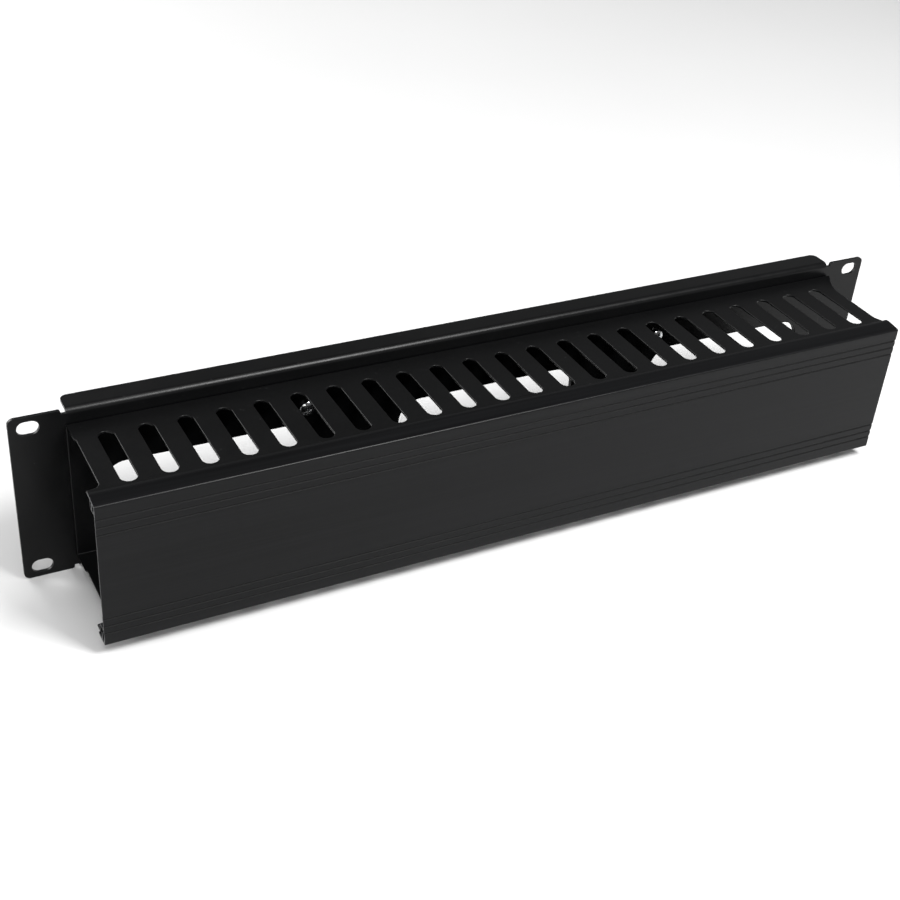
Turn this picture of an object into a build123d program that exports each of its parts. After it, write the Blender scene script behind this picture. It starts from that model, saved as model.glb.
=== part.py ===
from build123d import *

import math
import os

# Horizontal cable manager, two rack units high.
# Frame: +X along the width, +Y to the rear, +Z up. The origin is the centre of the
# front face of the rack panel. Millimetres.

# ---------------------------------------------------------------- rack panel
PANEL_W = 482.6  # 19 inch front panel
PANEL_H = 88.1  # two rack units less the usual gap
PANEL_T = 1.5
FLANGE_END_X = 215.5  # the folded flanges stop here
NOTCH_X = 217.8  # outer side of the bend relief notch
NOTCH_Z = 42.1  # bottom of the notch
NOTCH_CORNER_R = 1.2  # the ear's corner beside the notch
FLANGE_Y = 12.5  # depth of the flanges behind the front face
FLANGE_CORNER_R = 3.5
PANEL_BEND_IN_R = 1.5
EAR_CORNER_R = 3.0
EAR_HOLE_X = 465.1 / 2
EAR_HOLE_Z = 76.2 / 2
EAR_HOLE_L = 10.0
EAR_HOLE_W = 7.0

# ------------------------------------------- openings through panel and duct
OPENING_H = 23.0  # the ends are half circles
OPENINGS = [(-151.6, 100.5), (0.0, 102.0), (151.6, 100.5)]  # centre X, width

# -------------------------------------------------------------- duct channel
DUCT_T = 1.2
DUCT_Z = 36.9  # outer face of the long walls
DUCT_BEND_IN_R = 0.5
# Plan outline of the duct's two ends, from the back wall to the front rails.
LEFT_END = [
    (-216.3, 1.0),
    (-216.3, -13.2),  # a shallow step in the side edges
    (-215.4, -15.0),
    (-215.4, -49.8),  # the side edges turn out under the cover
    (-217.0, -51.9),
    (-221.6, -52.7),
    (-221.6, -70.0),
]
RIGHT_END = [
    (217.0, 1.0),
    (217.0, -2.2),  # a long sloping step
    (213.8, -7.0),
    (210.8, -12.5),
    (209.1, -18.0),
    (208.5, -50.0),
    (210.3, -54.0),
    (210.3, -70.0),
]
RAIL_DOWN_Y = -57.6  # middle of the sheet going down into the gutter
RAIL_FLOOR_Z = 31.4  # middle of the sheet at the gutter's floor
RAIL_LIP_Y = -63.8  # middle of the sheet of the front lip
RAIL_LIP_Z = 35.3  # top edge of the front lip
RAIL_BEND_IN_R = 0.8
SLOT_N = 23
SLOTS_X = -3.2  # the slot rows sit this far off the middle of the panel
SLOT_PITCH = 18.1
SLOT_W = 7.5
SLOT_Y1, SLOT_Y2 = -12.0, -52.3

# --------------------------------------------------------------- front cover
COVER_L = 433.0
COVER_X = -5.5  # where the middle of the cover sits
COVER_Y = -66.2  # outer front face
COVER_WALL = 1.2
COVER_CORNER_Z = 37.4
CREST_Y, CREST_Z = -58.0, 38.45
TIP_Y, TIP_Z = -56.0, 38.2
TIP_IN_Z = 37.22
CREST_IN_Z = 37.32
RIB_Y1, RIB_Y2 = -61.5, -62.7
RIB_TIP_Z = 32.6
GROOVE_Z = [22.6, 26.7, 30.6]
GROOVE_W = 1.0
GROOVE_D = 0.35

# ----------------------------------------------------------------- fasteners
SCREW_X = 101.3
SCREW_Z = 20.2
HOLE_R = 2.25
SCREW_R = 2.0
SCREW_L = 10.0
HEAD_R = 4.0
HEAD_H = 3.0
HEAD_RIM_H = 1.5
WASHER_R = 4.5
WASHER_IN_R = 2.15
WASHER_T = 0.8
NUT_AF = 7.0
NUT_H = 3.2
NUT_BORE_R = 2.02


def folded_section(path, thickness, inner_radii):
    """Face of a bent sheet whose mid line runs through path, in the YZ plane."""
    n = len(path)
    left, right, radii_left, radii_right = [], [], [], []
    dirs = []
    for (a, b), (c, d) in zip(path[:-1], path[1:]):
        length = math.hypot(c - a, d - b)
        dirs.append(((c - a) / length, (d - b) / length))
    h = thickness / 2
    for i, (y, z) in enumerate(path):
        if i in (0, n - 1):
            ux, uy = dirs[0] if i == 0 else dirs[-1]
            mx, my = -uy * h, ux * h
        else:
            (ax, ay), (bx, by) = dirs[i - 1], dirs[i]
            n1, n2 = (-ay, ax), (-by, bx)
            sx, sy = n1[0] + n2[0], n1[1] + n2[1]
            k = h * 2 / (sx * sx + sy * sy)
            mx, my = sx * k, sy * k
            turn = ax * by - ay * bx
            r = inner_radii[i - 1]
            radii_left.append(r if turn > 0 else r + thickness)
            radii_right.append(r + thickness if turn > 0 else r)
        left.append((y + mx, z + my))
        right.append((y - mx, z - my))
    side_a = FilletPolyline(*left, radius=radii_left)
    side_b = FilletPolyline(*right, radius=radii_right)
    cap_a = Line(left[0], right[0])
    cap_b = Line(left[-1], right[-1])
    return make_face(
        side_a.edges() + side_b.edges() + cap_a.edges() + cap_b.edges()
    )


def long_extrude(face, half_length):
    """Extrude a face drawn in (Y, Z) along X, both ways."""
    return extrude(Plane.YZ * face, amount=half_length, both=True)


def plan(left, right):
    """Upright prism over a plan outline between a left and a right end."""
    full = list(left) + list(reversed(right))
    face = make_face(Polyline(*full, close=True).edges())
    return Pos(0, 0, -60) * extrude(face, amount=120)


def along_y(face, y1, y2):
    """Extrude a face drawn in (X, Z) from y1 to y2."""
    at = Plane(origin=(0, y1, 0), x_dir=(1, 0, 0), z_dir=(0, -1, 0))
    return extrude(at * face, amount=y1 - y2)


def round_at(face, corners):
    """Round the corners of a flat face that lie at the given points."""
    for y, z, r in corners:
        nearest = min(
            face.vertices(), key=lambda v: math.hypot(v.X - y, v.Y - z)
        )
        face = fillet(nearest, r)
    return face


def rear_openings(y1, y2):
    cut = None
    for x, width in OPENINGS:
        one = along_y(Pos(x, 0) * SlotOverall(width, OPENING_H), y1, y2)
        cut = one if cut is None else cut + one
    for sx in (-1, 1):
        for sz in (-1, 1):
            cut = cut + along_y(
                Pos(sx * SCREW_X, sz * SCREW_Z) * Circle(HOLE_R), y1, y2
            )
    return cut


# ------------------------------------------------------------------- panel
half_h = PANEL_H / 2
mid_z = half_h - PANEL_T / 2
tray = long_extrude(
    folded_section(
        [
            (FLANGE_Y, mid_z),
            (PANEL_T / 2, mid_z),
            (PANEL_T / 2, -mid_z),
            (FLANGE_Y, -mid_z),
        ],
        PANEL_T,
        [PANEL_BEND_IN_R, PANEL_BEND_IN_R],
    ),
    FLANGE_END_X,
)
# Plan rounding of the rear corners of both flanges.
corner = [
    e
    for e in tray.edges().filter_by(Axis.Z)
    if abs(e.center().Y - FLANGE_Y) < 0.01 and abs(e.length - PANEL_T) < 0.01
]
tray = fillet(corner, FLANGE_CORNER_R)

ears = along_y(Rectangle(PANEL_W, PANEL_H), PANEL_T, 0)
ear_corners = [
    e
    for e in ears.edges().filter_by(Axis.Y)
    if abs(abs(e.center().X) - PANEL_W / 2) < 0.01
]
ears = fillet(ear_corners, EAR_CORNER_R)
middle = along_y(Rectangle(2 * NOTCH_X, PANEL_H + 10), PANEL_T + 1, -1)
ears = ears - middle
notch_corners = [
    e
    for e in ears.edges().filter_by(Axis.Y)
    if abs(abs(e.center().X) - NOTCH_X) < 0.01
]
ears = fillet(notch_corners, NOTCH_CORNER_R)
strip = along_y(Rectangle(2 * NOTCH_X + 2, 2 * NOTCH_Z), PANEL_T, 0)
strip = strip - along_y(
    Rectangle(2 * FLANGE_END_X - 2, 2 * NOTCH_Z + 2), PANEL_T + 1, -1
)
panel = ears + strip + tray
holes = None
for sx in (-1, 1):
    for sz in (-1, 1):
        one = along_y(
            Pos(sx * EAR_HOLE_X, sz * EAR_HOLE_Z)
            * SlotOverall(EAR_HOLE_L, EAR_HOLE_W),
            PANEL_T + 1,
            -1,
        )
        holes = one if holes is None else holes + one
panel = panel - holes - rear_openings(PANEL_T + 1, -1)

# ------------------------------------------------------------ duct channel
wall_mid = DUCT_Z - DUCT_T / 2
half_path = [
    (RAIL_LIP_Y, RAIL_LIP_Z),
    (RAIL_LIP_Y, RAIL_FLOOR_Z),
    (RAIL_DOWN_Y, RAIL_FLOOR_Z),
    (RAIL_DOWN_Y, wall_mid),
    (-DUCT_T / 2, wall_mid),
]
full_path = half_path + [(y, -z) for y, z in reversed(half_path)]
bends = [RAIL_BEND_IN_R] * 3 + [DUCT_BEND_IN_R] * 2 + [RAIL_BEND_IN_R] * 3
channel = long_extrude(folded_section(full_path, DUCT_T, bends), PANEL_W / 2)
channel = channel & plan(LEFT_END, RIGHT_END)
slots = None
slot_len = SLOT_Y1 - SLOT_Y2
for i in range(SLOT_N):
    x = SLOTS_X + (i - (SLOT_N - 1) / 2) * SLOT_PITCH
    outline = Pos(x, (SLOT_Y1 + SLOT_Y2) / 2) * Rot(0, 0, 90) * SlotOverall(
        slot_len, SLOT_W
    )
    one = Pos(0, 0, -50) * extrude(outline, amount=100)
    slots = one if slots is None else slots + one
channel = channel - slots - rear_openings(1, -DUCT_T - 1)

# ------------------------------------------------------------- front cover
inner_y = COVER_Y + COVER_WALL
slope = (CREST_IN_Z - (COVER_CORNER_Z - 1.01)) / (CREST_Y - inner_y)


def inner_z(y):
    return CREST_IN_Z - slope * (CREST_Y - y)


half = [
    (COVER_Y, COVER_CORNER_Z),
    (CREST_Y, CREST_Z),
    (TIP_Y, TIP_Z),
    (TIP_Y, TIP_IN_Z),
    (CREST_Y, CREST_IN_Z),
    (RIB_Y1, inner_z(RIB_Y1)),
    (RIB_Y1, RIB_TIP_Z),
    (RIB_Y2, RIB_TIP_Z),
    (RIB_Y2, inner_z(RIB_Y2)),
    (inner_y, inner_z(inner_y)),
]
ring = half + [(y, -z) for y, z in reversed(half)]
section = make_face(Polyline(*ring, close=True).edges())
rounds = [
    (COVER_Y, COVER_CORNER_Z, 1.0),
    (CREST_Y, CREST_Z, 4.0),
    (TIP_Y, TIP_Z, 0.45),
    (RIB_Y1, RIB_TIP_Z, 0.45),
    (RIB_Y2, RIB_TIP_Z, 0.45),
    (inner_y, inner_z(inner_y), 0.6),
]
section = round_at(section, rounds)
section = round_at(section, [(y, -z, r) for y, z, r in rounds])
for z in GROOVE_Z:
    for s in (-1, 1):
        section = section - Pos(COVER_Y, s * z) * Rectangle(2 * GROOVE_D, GROOVE_W)
cover = Pos(COVER_X, 0, 0) * long_extrude(section, COVER_L / 2)

# --------------------------------------------------------------- fasteners
head_y = -DUCT_T  # underside of the screw head
dome = (HEAD_R**2 + (HEAD_H - HEAD_RIM_H) ** 2) / (2 * (HEAD_H - HEAD_RIM_H))


def screw():
    """Pan head screw drawn along its own axis, head up, underside at zero."""
    outline = make_face(
        Line((0, -SCREW_L), (SCREW_R - 0.4, -SCREW_L)).edges()
        + Line((SCREW_R - 0.4, -SCREW_L), (SCREW_R, -SCREW_L + 0.4)).edges()
        + Line((SCREW_R, -SCREW_L + 0.4), (SCREW_R, 0)).edges()
        + Line((SCREW_R, 0), (HEAD_R - 0.1, 0)).edges()
        + Line((HEAD_R - 0.1, 0), (HEAD_R, 0.1)).edges()
        + Line((HEAD_R, 0.1), (HEAD_R, HEAD_RIM_H)).edges()
        + ThreePointArc(
            (HEAD_R, HEAD_RIM_H),
            (
                HEAD_R * 0.55,
                HEAD_H - dome + math.sqrt(dome**2 - (HEAD_R * 0.55) ** 2),
            ),
            (0, HEAD_H),
        ).edges()
        + Line((0, HEAD_H), (0, -SCREW_L)).edges()
    )
    body = revolve(Plane.XZ * outline, Axis.Z)
    cross = Rectangle(4.4, 0.9) + Rectangle(0.9, 4.4)
    recess = Pos(0, 0, HEAD_H + 0.2) * extrude(cross, amount=-2.1, taper=8)
    well = Pos(0, 0, HEAD_H - 0.9) * Cone(0.4, 1.35, 2.0)
    return body - recess - well


def washer():
    ring_face = Circle(WASHER_R) - Circle(WASHER_IN_R)
    return extrude(ring_face, amount=WASHER_T)


def nut():
    blank = extrude(RegularPolygon(NUT_AF / 2, 6, major_radius=False), amount=NUT_H)
    top = NUT_H
    corner_r = NUT_AF / math.sqrt(3)
    keep = Cone(
        corner_r + 0.1 + 1.2 * NUT_H, corner_r - 0.35, 1.2 * NUT_H + 0.45
    )
    keep = Pos(0, 0, top - (1.2 * NUT_H + 0.45) / 2) * keep
    blank = blank & keep
    bore = Pos(0, 0, NUT_H / 2) * Cylinder(NUT_BORE_R, NUT_H + 2)
    return blank - bore


def facing(x, y, z, side):
    """Place whose local +Z points to the front (-1) or to the rear (+1)."""
    spot = Plane(origin=(x, y, z), x_dir=(1, 0, 0), z_dir=(0, side, 0))
    return spot.location


places = {
    "top_left": (-SCREW_X, SCREW_Z, 20),
    "top_right": (SCREW_X, SCREW_Z, 65),
    "bottom_left": (-SCREW_X, -SCREW_Z, 40),
    "bottom_right": (SCREW_X, -SCREW_Z, 5),
}
nodes = {"rack_panel": panel, "duct_channel": channel, "front_cover": cover}
for name, (x, z, turn) in places.items():
    nodes["screw_" + name] = facing(x, head_y, z, -1) * Rot(0, 0, turn) * screw()
    nodes["washer_" + name] = facing(x, PANEL_T, z, 1) * washer()
    nodes["nut_" + name] = (
        facing(x, PANEL_T + WASHER_T, z, 1) * Rot(0, 0, turn * 0.7) * nut()
    )

os.makedirs("parts", exist_ok=True)
for name, shape in nodes.items():
    solids = shape.solids()
    print(name, len(solids), round(sum(s.volume for s in solids), 1))
    out = solids[0] if len(solids) == 1 else Compound(children=list(solids))
    out.label = name
    export_step(out, "parts/" + name + ".step")

# Flat sizes of the two folded sheets, along the mid line.


def flat_length(path, thickness, inner_radii):
    total = sum(math.dist(a, b) for a, b in zip(path[:-1], path[1:]))
    for r in inner_radii:
        mid = r + thickness / 2
        total += mid * math.pi / 2 - 2 * mid
    return total


print(
    "flat rack_panel",
    PANEL_W,
    "x",
    round(
        flat_length(
            [
                (FLANGE_Y, mid_z),
                (PANEL_T / 2, mid_z),
                (PANEL_T / 2, -mid_z),
                (FLANGE_Y, -mid_z),
            ],
            PANEL_T,
            [PANEL_BEND_IN_R] * 2,
        ),
        1,
    ),
)
print(
    "flat duct_channel",
    round(max(x for x, y in RIGHT_END) - min(x for x, y in LEFT_END), 1),
    "x",
    round(flat_length(full_path, DUCT_T, bends), 1),
)
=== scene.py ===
import math

import bmesh
import bpy
from mathutils import Matrix, Vector


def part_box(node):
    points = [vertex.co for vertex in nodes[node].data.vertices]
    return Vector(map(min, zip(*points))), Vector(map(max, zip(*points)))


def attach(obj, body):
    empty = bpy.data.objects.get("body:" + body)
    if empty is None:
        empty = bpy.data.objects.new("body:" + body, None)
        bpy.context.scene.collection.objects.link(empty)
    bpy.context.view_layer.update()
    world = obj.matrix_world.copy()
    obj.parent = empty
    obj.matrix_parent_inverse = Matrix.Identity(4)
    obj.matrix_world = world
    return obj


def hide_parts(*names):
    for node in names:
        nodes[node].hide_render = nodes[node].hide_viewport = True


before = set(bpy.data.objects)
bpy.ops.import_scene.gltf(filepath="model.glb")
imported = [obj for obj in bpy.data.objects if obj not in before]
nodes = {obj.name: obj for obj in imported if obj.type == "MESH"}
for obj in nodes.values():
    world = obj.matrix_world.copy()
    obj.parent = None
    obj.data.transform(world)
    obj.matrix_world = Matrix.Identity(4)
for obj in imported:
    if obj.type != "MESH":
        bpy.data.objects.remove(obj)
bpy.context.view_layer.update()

# Sizes in metres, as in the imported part.
FLOOR_Z = -0.0441
SCREW_X, SCREW_Z = 0.1013, 0.0202
cover_low, cover_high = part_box("front_cover")
COVER_MIDDLE = (cover_low[0] + cover_high[0]) / 2
COVER_HALF = (cover_high[0] - cover_low[0]) / 2
COVER_FACE_Y = cover_low[1]
SCREW_END_Y = 0.0088
THREAD_FROM_Y = 0.0048
THREAD_R, THREAD_CORE_R, THREAD_PITCH = 0.00198, 0.00162, 0.0007


# ------------------------------------------------------------------ materials
class Graph:
    """A material's node tree, with short calls for the nodes used here."""

    def __init__(self, name):
        self.material = bpy.data.materials.new(name)
        self.material.use_nodes = True
        self.tree = self.material.node_tree
        self.tree.nodes.clear()
        self.out = self.tree.nodes.new("ShaderNodeOutputMaterial")
        self.shader = self.tree.nodes.new("ShaderNodeBsdfPrincipled")
        self.join(self.shader.outputs["BSDF"], self.out.inputs["Surface"])
        self.place = self.tree.nodes.new("ShaderNodeTexCoord").outputs["Object"]

    def join(self, a, b):
        self.tree.links.new(a, b)

    def feed(self, value, socket):
        if isinstance(value, bpy.types.NodeSocket):
            self.join(value, socket)
        else:
            socket.default_value = value

    def stretch(self, scale, turn=(0, 0, 0), shift=(0, 0, 0)):
        n = self.tree.nodes.new("ShaderNodeMapping")
        self.join(self.place, n.inputs["Vector"])
        n.inputs["Location"].default_value = shift
        n.inputs["Rotation"].default_value = turn
        n.inputs["Scale"].default_value = scale
        return n.outputs["Vector"]

    def noise(self, scale, detail=2.0, rough=0.5, vector=None, twist=0.0):
        n = self.tree.nodes.new("ShaderNodeTexNoise")
        self.join(vector or self.place, n.inputs["Vector"])
        n.inputs["Scale"].default_value = scale
        n.inputs["Detail"].default_value = detail
        n.inputs["Roughness"].default_value = rough
        n.inputs["Distortion"].default_value = twist
        return n.outputs["Fac"]

    def cells(self, scale, feature="F1", vector=None):
        n = self.tree.nodes.new("ShaderNodeTexVoronoi")
        n.feature = feature
        self.join(vector or self.place, n.inputs["Vector"])
        n.inputs["Scale"].default_value = scale
        return n.outputs["Distance"]

    def span(self, value, a, b, lo=0.0, hi=1.0, smooth=False):
        """value from a..b becomes lo..hi, held at both ends."""
        n = self.tree.nodes.new("ShaderNodeMapRange")
        n.clamp = True
        if smooth:
            n.interpolation_type = "SMOOTHSTEP"
        self.join(value, n.inputs["Value"])
        for name, x in (("From Min", a), ("From Max", b), ("To Min", lo), ("To Max", hi)):
            n.inputs[name].default_value = x
        return n.outputs["Result"]

    def math(self, kind, a, b=0.5, c=0.5):
        n = self.tree.nodes.new("ShaderNodeMath")
        n.operation = kind
        for i, x in enumerate((a, b, c)):
            self.feed(x, n.inputs[i])
        return n.outputs["Value"]

    def vector(self, kind, a, b=(0, 0, 0)):
        n = self.tree.nodes.new("ShaderNodeVectorMath")
        n.operation = kind
        self.feed(a, n.inputs[0])
        self.feed(b, n.inputs[1])
        return n.outputs["Value" if kind in ("DOT_PRODUCT", "LENGTH") else "Vector"]

    def blend(self, factor, a, b):
        n = self.tree.nodes.new("ShaderNodeMix")
        n.data_type = "RGBA"
        self.feed(factor, n.inputs[0])
        for x, socket in ((a, n.inputs[6]), (b, n.inputs[7])):
            self.feed((*x, 1.0) if isinstance(x, tuple) else x, socket)
        return n.outputs[2]

    def axes(self, value):
        n = self.tree.nodes.new("ShaderNodeSeparateXYZ")
        self.join(value, n.inputs[0])
        return n.outputs["X"], n.outputs["Y"], n.outputs["Z"]

    def edges(self, radius, lo, hi):
        """1 along outer and inner edges, 0 on open surfaces."""
        wide = self.tree.nodes.new("ShaderNodeBevel")
        wide.samples = 4
        wide.inputs["Radius"].default_value = radius
        true = self.tree.nodes.new("ShaderNodeNewGeometry").outputs["Normal"]
        same = self.vector("DOT_PRODUCT", wide.outputs["Normal"], true)
        return self.span(same, 1.0 - lo, 1.0 - hi)

    def facing(self):
        """The surface's own direction, as the object has it at rest."""
        n = self.tree.nodes.new("ShaderNodeTexCoord")
        return self.axes(n.outputs["Normal"])

    def bump(self, height, strength, distance, under=None):
        n = self.tree.nodes.new("ShaderNodeBump")
        n.inputs["Strength"].default_value = strength
        n.inputs["Distance"].default_value = distance
        self.join(height, n.inputs["Height"])
        if under is not None:
            self.join(under, n.inputs["Normal"])
        return n.outputs["Normal"]

    def finish(self, colour, roughness, normal, metallic=0.0, specular=0.5, coat=None):
        s = self.shader.inputs
        self.join(colour, s["Base Color"])
        self.join(roughness, s["Roughness"])
        self.join(normal, s["Normal"])
        s["Metallic"].default_value = metallic
        s["Specular IOR Level"].default_value = specular
        if coat:
            s["Coat Weight"].default_value, s["Coat Roughness"].default_value = coat
        return self.material


def powder_coat():
    """Black powder coat on steel: a fine even texture, a trace of dust, and paler edges that are partly a
    thinner, worn coat and partly a painted highlight.
    """
    g = Graph("black_powder_coat_finish")
    clouds = g.noise(11.0, 3.0, 0.55)
    grain = g.noise(1500.0, 2.0, 0.6)
    film = g.noise(95.0, 3.0, 0.5, twist=0.4)
    speck_field = g.cells(420.0)
    speck_here = g.span(g.noise(170.0, 1.0), 0.60, 0.68)
    specks = g.math("MULTIPLY", g.span(speck_field, 0.16, 0.10), speck_here)
    colour = g.blend(g.span(clouds, 0.35, 0.65), (0.0016, 0.0017, 0.0018), (0.0026, 0.0027, 0.0029))
    colour = g.blend(g.span(grain, 0.35, 0.75, 0.0, 0.35), colour, (0.0050, 0.0050, 0.0053))
    colour = g.blend(g.math("MULTIPLY", specks, 0.45), colour, (0.040, 0.040, 0.041))
    rim = g.edges(0.0006, 0.02, 0.30)
    # Paler edges: partly the coat worn thin and partly a painted highlight along every edge. The same mask makes
    # the edges a little smoother.
    wear_and_edge_highlight = g.math("MULTIPLY", rim, g.span(g.noise(260.0, 3.0, 0.6), 0.38, 0.66, 0.25, 1.0))
    colour = g.blend(g.math("MULTIPLY", wear_and_edge_highlight, 0.75), colour, (0.036, 0.037, 0.039))
    rough = g.span(g.math("ADD", g.math("MULTIPLY", film, 0.7), g.math("MULTIPLY", grain, 0.3)), 0.28, 0.72, 0.29, 0.37, smooth=True)
    rough = g.math("SUBTRACT", rough, g.math("MULTIPLY", wear_and_edge_highlight, 0.06))
    peel = g.bump(g.noise(620.0, 1.5, 0.45), 0.20, 0.00006)
    fine = g.bump(g.noise(2600.0, 2.0, 0.6), 0.22, 0.00002, peel)
    return g.finish(colour, rough, fine, specular=0.175)


def anodised():
    """Black anodised extrusion: die lines along X, soft cloudiness, saw marks, and a paler rim at the cut ends
    that is partly wear and partly a painted highlight.
    """
    g = Graph("black_anodised_finish")
    lines = g.noise(1.0, 3.0, 0.62, vector=g.stretch((5.0, 900.0, 900.0)))
    bands = g.noise(1.0, 2.0, 0.5, vector=g.stretch((2.2, 110.0, 110.0), shift=(3.1, 0.7, 1.9)))
    clouds = g.noise(9.0, 3.0, 0.5)
    grain = g.noise(2400.0, 2.0, 0.6)
    colour = g.blend(g.span(clouds, 0.33, 0.67), (0.0013, 0.0014, 0.0016), (0.0020, 0.0021, 0.0024))
    colour = g.blend(g.span(bands, 0.30, 0.70, 0.0, 0.55), colour, (0.0028, 0.0029, 0.0033))
    colour = g.blend(g.span(lines, 0.42, 0.74, 0.0, 0.50), colour, (0.0055, 0.0057, 0.0063))
    x, y, z = g.facing()
    end = g.span(g.math("ABSOLUTE", x), 0.80, 0.95)
    saw = g.noise(1.0, 3.0, 0.6, vector=g.stretch((60.0, 60.0, 2600.0)))
    colour = g.blend(g.math("MULTIPLY", end, g.span(saw, 0.35, 0.70, 0.30, 0.85)), colour, (0.150, 0.152, 0.157))
    rim = g.edges(0.0005, 0.02, 0.30)
    along = g.axes(g.place)[0]
    from_middle = g.math("ABSOLUTE", g.math("SUBTRACT", along, COVER_MIDDLE))
    near_end = g.span(from_middle, COVER_HALF - 0.0022, COVER_HALF - 0.0006, 0.10, 1.0)
    # Paler edges, strongest near the cut ends: partly wear and partly a painted highlight.
    wear_and_edge_highlight = g.math("MULTIPLY", rim, g.span(g.noise(300.0, 3.0, 0.6), 0.40, 0.68, 0.20, 1.0))
    wear_and_edge_highlight = g.math("MULTIPLY", wear_and_edge_highlight, near_end)
    colour = g.blend(g.math("MULTIPLY", wear_and_edge_highlight, 0.70), colour, (0.070, 0.072, 0.076))
    # The six grooves hold dust and stay dull, while the outer edges are rubbed smooth.
    across = g.axes(g.place)
    low_y, high_y = COVER_FACE_Y + 0.00001, COVER_FACE_Y + 0.00006
    groove = g.math("MULTIPLY", g.span(across[1], low_y, high_y), g.span(across[1], COVER_FACE_Y + 0.0006, COVER_FACE_Y + 0.0005))
    groove = g.math("MULTIPLY", groove, g.span(g.math("ABSOLUTE", across[2]), 0.0322, 0.0318))
    colour = g.blend(g.math("MULTIPLY", groove, 0.8), colour, (0.0042, 0.0042, 0.0043))
    rough = g.span(g.math("ADD", g.math("MULTIPLY", lines, 0.5), g.math("MULTIPLY", bands, 0.5)), 0.32, 0.68, 0.29, 0.39)
    rough = g.math("SUBTRACT", rough, g.math("MULTIPLY", rim, 0.13))
    rough = g.math("ADD", rough, g.math("MULTIPLY", groove, 0.22))
    drawn = g.bump(lines, 0.10, 0.00004)
    cut = g.bump(g.math("MULTIPLY", saw, end), 0.5, 0.00006, drawn)
    fine = g.bump(grain, 0.12, 0.00002, cut)
    return g.finish(colour, rough, fine, specular=0.165)


def zinc():
    """Bright zinc plating: slightly cloudy, finely brushed, paler along the edges."""
    g = Graph("zinc_plated_finish")
    clouds = g.noise(420.0, 3.0, 0.55)
    marks = g.noise(1.0, 3.0, 0.6, vector=g.stretch((2600.0, 500.0, 900.0), turn=(0.3, 0.5, 0.2)))
    colour = g.blend(g.span(clouds, 0.32, 0.70), (0.50, 0.515, 0.535), (0.70, 0.705, 0.70))
    rim = g.edges(0.00035, 0.02, 0.35)
    colour = g.blend(g.math("MULTIPLY", rim, 0.5), colour, (0.80, 0.80, 0.79))
    rough = g.span(g.math("ADD", g.math("MULTIPLY", clouds, 0.5), g.math("MULTIPLY", marks, 0.5)), 0.30, 0.70, 0.14, 0.27)
    fine = g.bump(marks, 0.12, 0.00002)
    return g.finish(colour, rough, fine, metallic=1.0)


def plain_floor():
    g = Graph("floor_finish")
    soft = g.noise(3.0, 2.0, 0.5)
    colour = g.blend(soft, (0.64, 0.64, 0.64), (0.68, 0.68, 0.68))
    rough = g.span(g.noise(60.0, 2.0), 0.3, 0.7, 0.75, 0.85)
    return g.finish(colour, rough, g.bump(g.noise(900.0, 2.0), 0.03, 0.0001), specular=0.2)


FINISH = {
    "black_powder_coat": powder_coat(),
    "black_anodised": anodised(),
    "zinc_plated": zinc(),
}
for name, node in nodes.items():
    for place in node.material_slots:
        place.material = FINISH[place.material.name.split(".")[0]]


# --------------------------------------------------- softened edges of the parts
def smooth_group():
    """Joins the imported faces at their shared corners and lets them shade smoothly."""
    group = bpy.data.node_groups.new("joined_faces", "GeometryNodeTree")
    group.interface.new_socket("Geometry", in_out="INPUT", socket_type="NodeSocketGeometry")
    group.interface.new_socket("Geometry", in_out="OUTPUT", socket_type="NodeSocketGeometry")
    start = group.nodes.new("NodeGroupInput")
    drop = group.nodes.new("GeometryNodeRemoveAttribute")
    drop.inputs["Name"].default_value = "custom_normal"
    merge = group.nodes.new("GeometryNodeMergeByDistance")
    merge.inputs["Distance"].default_value = 2e-6
    soft = group.nodes.new("GeometryNodeSetShadeSmooth")
    end = group.nodes.new("NodeGroupOutput")
    group.links.new(start.outputs[0], drop.inputs["Geometry"])
    group.links.new(drop.outputs["Geometry"], merge.inputs["Geometry"])
    group.links.new(merge.outputs["Geometry"], soft.inputs["Geometry"])
    group.links.new(soft.outputs["Geometry"], end.inputs[0])
    return group


JOINED = smooth_group()
EDGE = {"black_powder_coat": 0.00036, "black_anodised": 0.00014, "zinc_plated": 0.00010}


def soften(piece, width, clamp=True):
    joined = piece.modifiers.new("joined", "NODES")
    joined.node_group = JOINED
    flat = piece.modifiers.new("flat", "DECIMATE")
    flat.decimate_type = "DISSOLVE"
    flat.angle_limit = math.radians(0.6)
    edge = piece.modifiers.new("edge", "BEVEL")
    edge.width = width
    edge.segments = 2
    edge.limit_method = "ANGLE"
    edge.angle_limit = math.radians(35)
    edge.use_clamp_overlap = clamp
    normal = piece.modifiers.new("normals", "WEIGHTED_NORMAL")
    normal.weight = 80
    normal.keep_sharp = False


for name, node in nodes.items():
    kind = node.material_slots[0].material.name.replace("_finish", "")
    # The duct's outlines leave room for the full width, the panel's notches don't.
    soften(node, EDGE[kind], clamp=name != "duct_channel")


# ------------------------------------------------- screws with a cut thread
def thread_radius(turn, y):
    """Radius of a right-handed thread at an angle (in turns) and a depth."""
    phase = (y / THREAD_PITCH - turn) % 1.0
    rise = 1.0 - abs(2.0 * phase - 1.0)
    ridge = min(1.0, max(0.0, (rise - 0.12) / 0.72))
    r = THREAD_CORE_R + (THREAD_R - THREAD_CORE_R) * ridge
    return min(r, THREAD_CORE_R - 0.0001 + (SCREW_END_Y - y) * 1.1)


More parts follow.
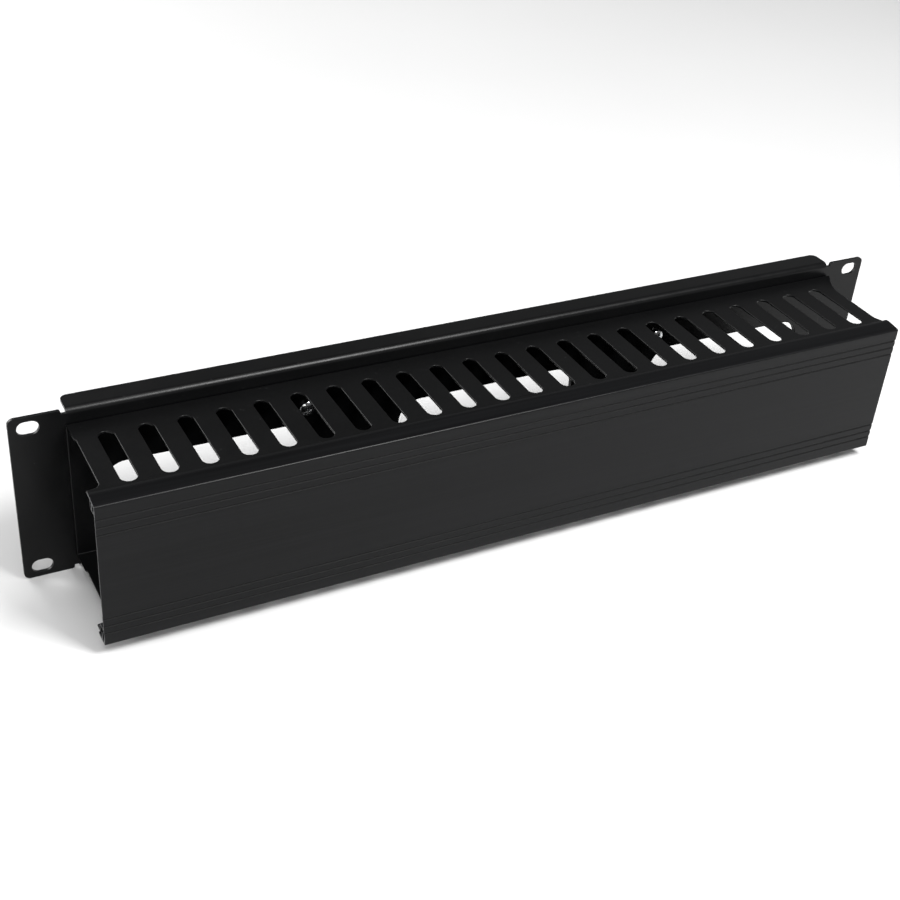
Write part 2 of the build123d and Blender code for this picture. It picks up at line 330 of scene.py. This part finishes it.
def screw_piece(name, node):
    """The screw again, with its plain end beyond the nut swapped for a real thread."""
    low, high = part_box(name)
    cx, cz = (low[0] + high[0]) / 2, (low[2] + high[2]) / 2
    b = bmesh.new()
    b.from_mesh(node.data)
    bmesh.ops.remove_doubles(b, verts=b.verts, dist=2e-6)
    cut = bmesh.ops.bisect_plane(
        b,
        geom=b.verts[:] + b.edges[:] + b.faces[:],
        plane_co=(0, THREAD_FROM_Y + 0.0001, 0),
        plane_no=(0, 1, 0),
        clear_outer=True,
    )
    rim = [e for e in cut["geom_cut"] if isinstance(e, bmesh.types.BMEdge)]
    bmesh.ops.holes_fill(b, edges=rim)
    mesh = bpy.data.meshes.new("driven_" + name)
    b.to_mesh(mesh)
    b.free()
    mesh.materials.append(FINISH["zinc_plated"])
    piece = bpy.data.objects.new("driven_" + name, mesh)
    bpy.context.scene.collection.objects.link(piece)
    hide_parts(name)
    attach(piece, "duct")
    soften(piece, EDGE["zinc_plated"])

    b = bmesh.new()
    around = 48
    rows = int(round((SCREW_END_Y - THREAD_FROM_Y) / 0.00005))
    rings = []
    for j in range(rows + 1):
        y = THREAD_FROM_Y + (SCREW_END_Y - THREAD_FROM_Y) * j / rows
        ring = []
        for i in range(around):
            a = 2 * math.pi * i / around
            r = thread_radius(i / around, y)
            ring.append(b.verts.new((cx + r * math.cos(a), y, cz + r * math.sin(a))))
        rings.append(ring)
    for one, two in zip(rings[:-1], rings[1:]):
        for i in range(around):
            k = (i + 1) % around
            b.faces.new((one[i], two[i], two[k], one[k]))
    b.faces.new(rings[0])
    b.faces.new(list(reversed(rings[-1])))
    bmesh.ops.recalc_face_normals(b, faces=b.faces)
    for face in b.faces:
        face.smooth = len(face.verts) == 4
    mesh = bpy.data.meshes.new(name.replace("screw", "thread"))
    b.to_mesh(mesh)
    b.free()
    mesh.materials.append(FINISH["zinc_plated"])
    piece = bpy.data.objects.new(name.replace("screw", "thread"), mesh)
    bpy.context.scene.collection.objects.link(piece)
    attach(piece, "duct")


for name, node in list(nodes.items()):
    if name.startswith("screw_"):
        screw_piece(name, node)


# ------------------------------------------------------------- floor and light
def floor():
    mesh = bpy.data.meshes.new("floor")
    b = bmesh.new()
    n, size = 12, 6.0
    grid = [
        [b.verts.new((size * (2 * i / n - 1), size * (2 * j / n - 1), FLOOR_Z)) for i in range(n + 1)]
        for j in range(n + 1)
    ]
    for j in range(n):
        for i in range(n):
            b.faces.new((grid[j][i], grid[j][i + 1], grid[j + 1][i + 1], grid[j + 1][i]))
    b.to_mesh(mesh)
    b.free()
    mesh.materials.append(plain_floor())
    piece = bpy.data.objects.new("floor", mesh)
    bpy.context.scene.collection.objects.link(piece)
    return piece


floor()


def softbox(name, place, aim, size, power, colour=(1, 1, 1)):
    lamp = bpy.data.lights.new(name, "AREA")
    lamp.shape = "RECTANGLE"
    lamp.size, lamp.size_y = size
    lamp.energy = power
    lamp.color = colour
    piece = bpy.data.objects.new(name, lamp)
    piece.location = place
    piece.rotation_euler = (Vector(aim) - Vector(place)).to_track_quat("-Z", "Y").to_euler()
    bpy.context.scene.collection.objects.link(piece)
    return piece


softbox("key", (0.33, -0.66, 1.07), (0, -0.02, 0), (0.42, 0.50), 22.5)
softbox("rear_left", (-0.85, 1.35, 0.60), (0, 0.0, 0), (1.1, 0.8), 22.0)
softbox("front_left", (-0.62, -1.02, 0.50), (-0.05, 0, 0.02), (0.38, 0.24), 4.2)

world = bpy.data.worlds.new("studio")
world.use_nodes = True
wt = world.node_tree
back = wt.nodes["Background"]
back.inputs["Color"].default_value = (1, 1, 1, 1)
way = wt.nodes.new("ShaderNodeTexCoord")
parts = wt.nodes.new("ShaderNodeSeparateXYZ")
wt.links.new(way.outputs["Generated"], parts.inputs[0])


def world_span(socket, a, b, lo, hi):
    n = wt.nodes.new("ShaderNodeMapRange")
    n.interpolation_type = "SMOOTHSTEP"
    wt.links.new(socket, n.inputs["Value"])
    for name, x in (("From Min", a), ("From Max", b), ("To Min", lo), ("To Max", hi)):
        n.inputs[name].default_value = x
    return n.outputs["Result"]


def world_math(kind, a, b):
    n = wt.nodes.new("ShaderNodeMath")
    n.operation = kind
    wt.links.new(a, n.inputs[0])
    wt.links.new(b, n.inputs[1])
    return n.outputs[0]


# Pale near the horizon and a little brighter on the right, dim higher up, with a
# faint band behind and one broad soft ceiling light.
ceiling = wt.nodes.new("ShaderNodeVectorMath")
ceiling.operation = "DOT_PRODUCT"
wt.links.new(way.outputs["Generated"], ceiling.inputs[0])
ceiling.inputs[1].default_value = Vector((-0.10, -0.22, 0.97)).normalized()
glow = world_math(
    "MULTIPLY",
    world_span(parts.outputs["Z"], 0.0, 0.50, 0.74, 0.065),
    world_span(parts.outputs["X"], -0.7, 0.9, 0.82, 1.16),
)
glow = world_math("MULTIPLY", glow, world_span(parts.outputs["Y"], 0.0, 0.6, 1.0, 0.5))
band = world_math(
    "MULTIPLY",
    world_span(parts.outputs["Y"], 0.0, 0.6, 0.0, 1.0),
    world_span(parts.outputs["Z"], 0.20, 0.42, 0.0, 0.11),
)
broad = world_span(ceiling.outputs["Value"], 0.86, 0.97, 0.0, 2.9)
wt.links.new(world_math("ADD", world_math("ADD", glow, band), broad), back.inputs["Strength"])
bpy.context.scene.world = world

# --------------------------------------------------------------------- camera
RIGHT = Vector((0.88698391, -0.45635454, 0.07071123))
UP = Vector((0.2027018, 0.5223216, 0.82830678))
BACK = Vector((-0.41493556, -0.72036149, 0.55579474))
lens = bpy.data.cameras.new("camera")
lens.sensor_width = 36.0
lens.lens = 57.6356
lens.clip_start, lens.clip_end = 0.01, 50.0
camera = bpy.data.objects.new("camera", lens)
turn = Matrix((RIGHT, UP, BACK)).transposed().to_4x4()
camera.matrix_world = Matrix.Translation((-0.3321801, -0.5433262, 0.3937802)) @ turn
bpy.context.scene.collection.objects.link(camera)
bpy.context.scene.camera = camera
bpy.context.scene.view_settings.view_transform = "Standard"
bpy.context.scene.view_settings.look = "None"
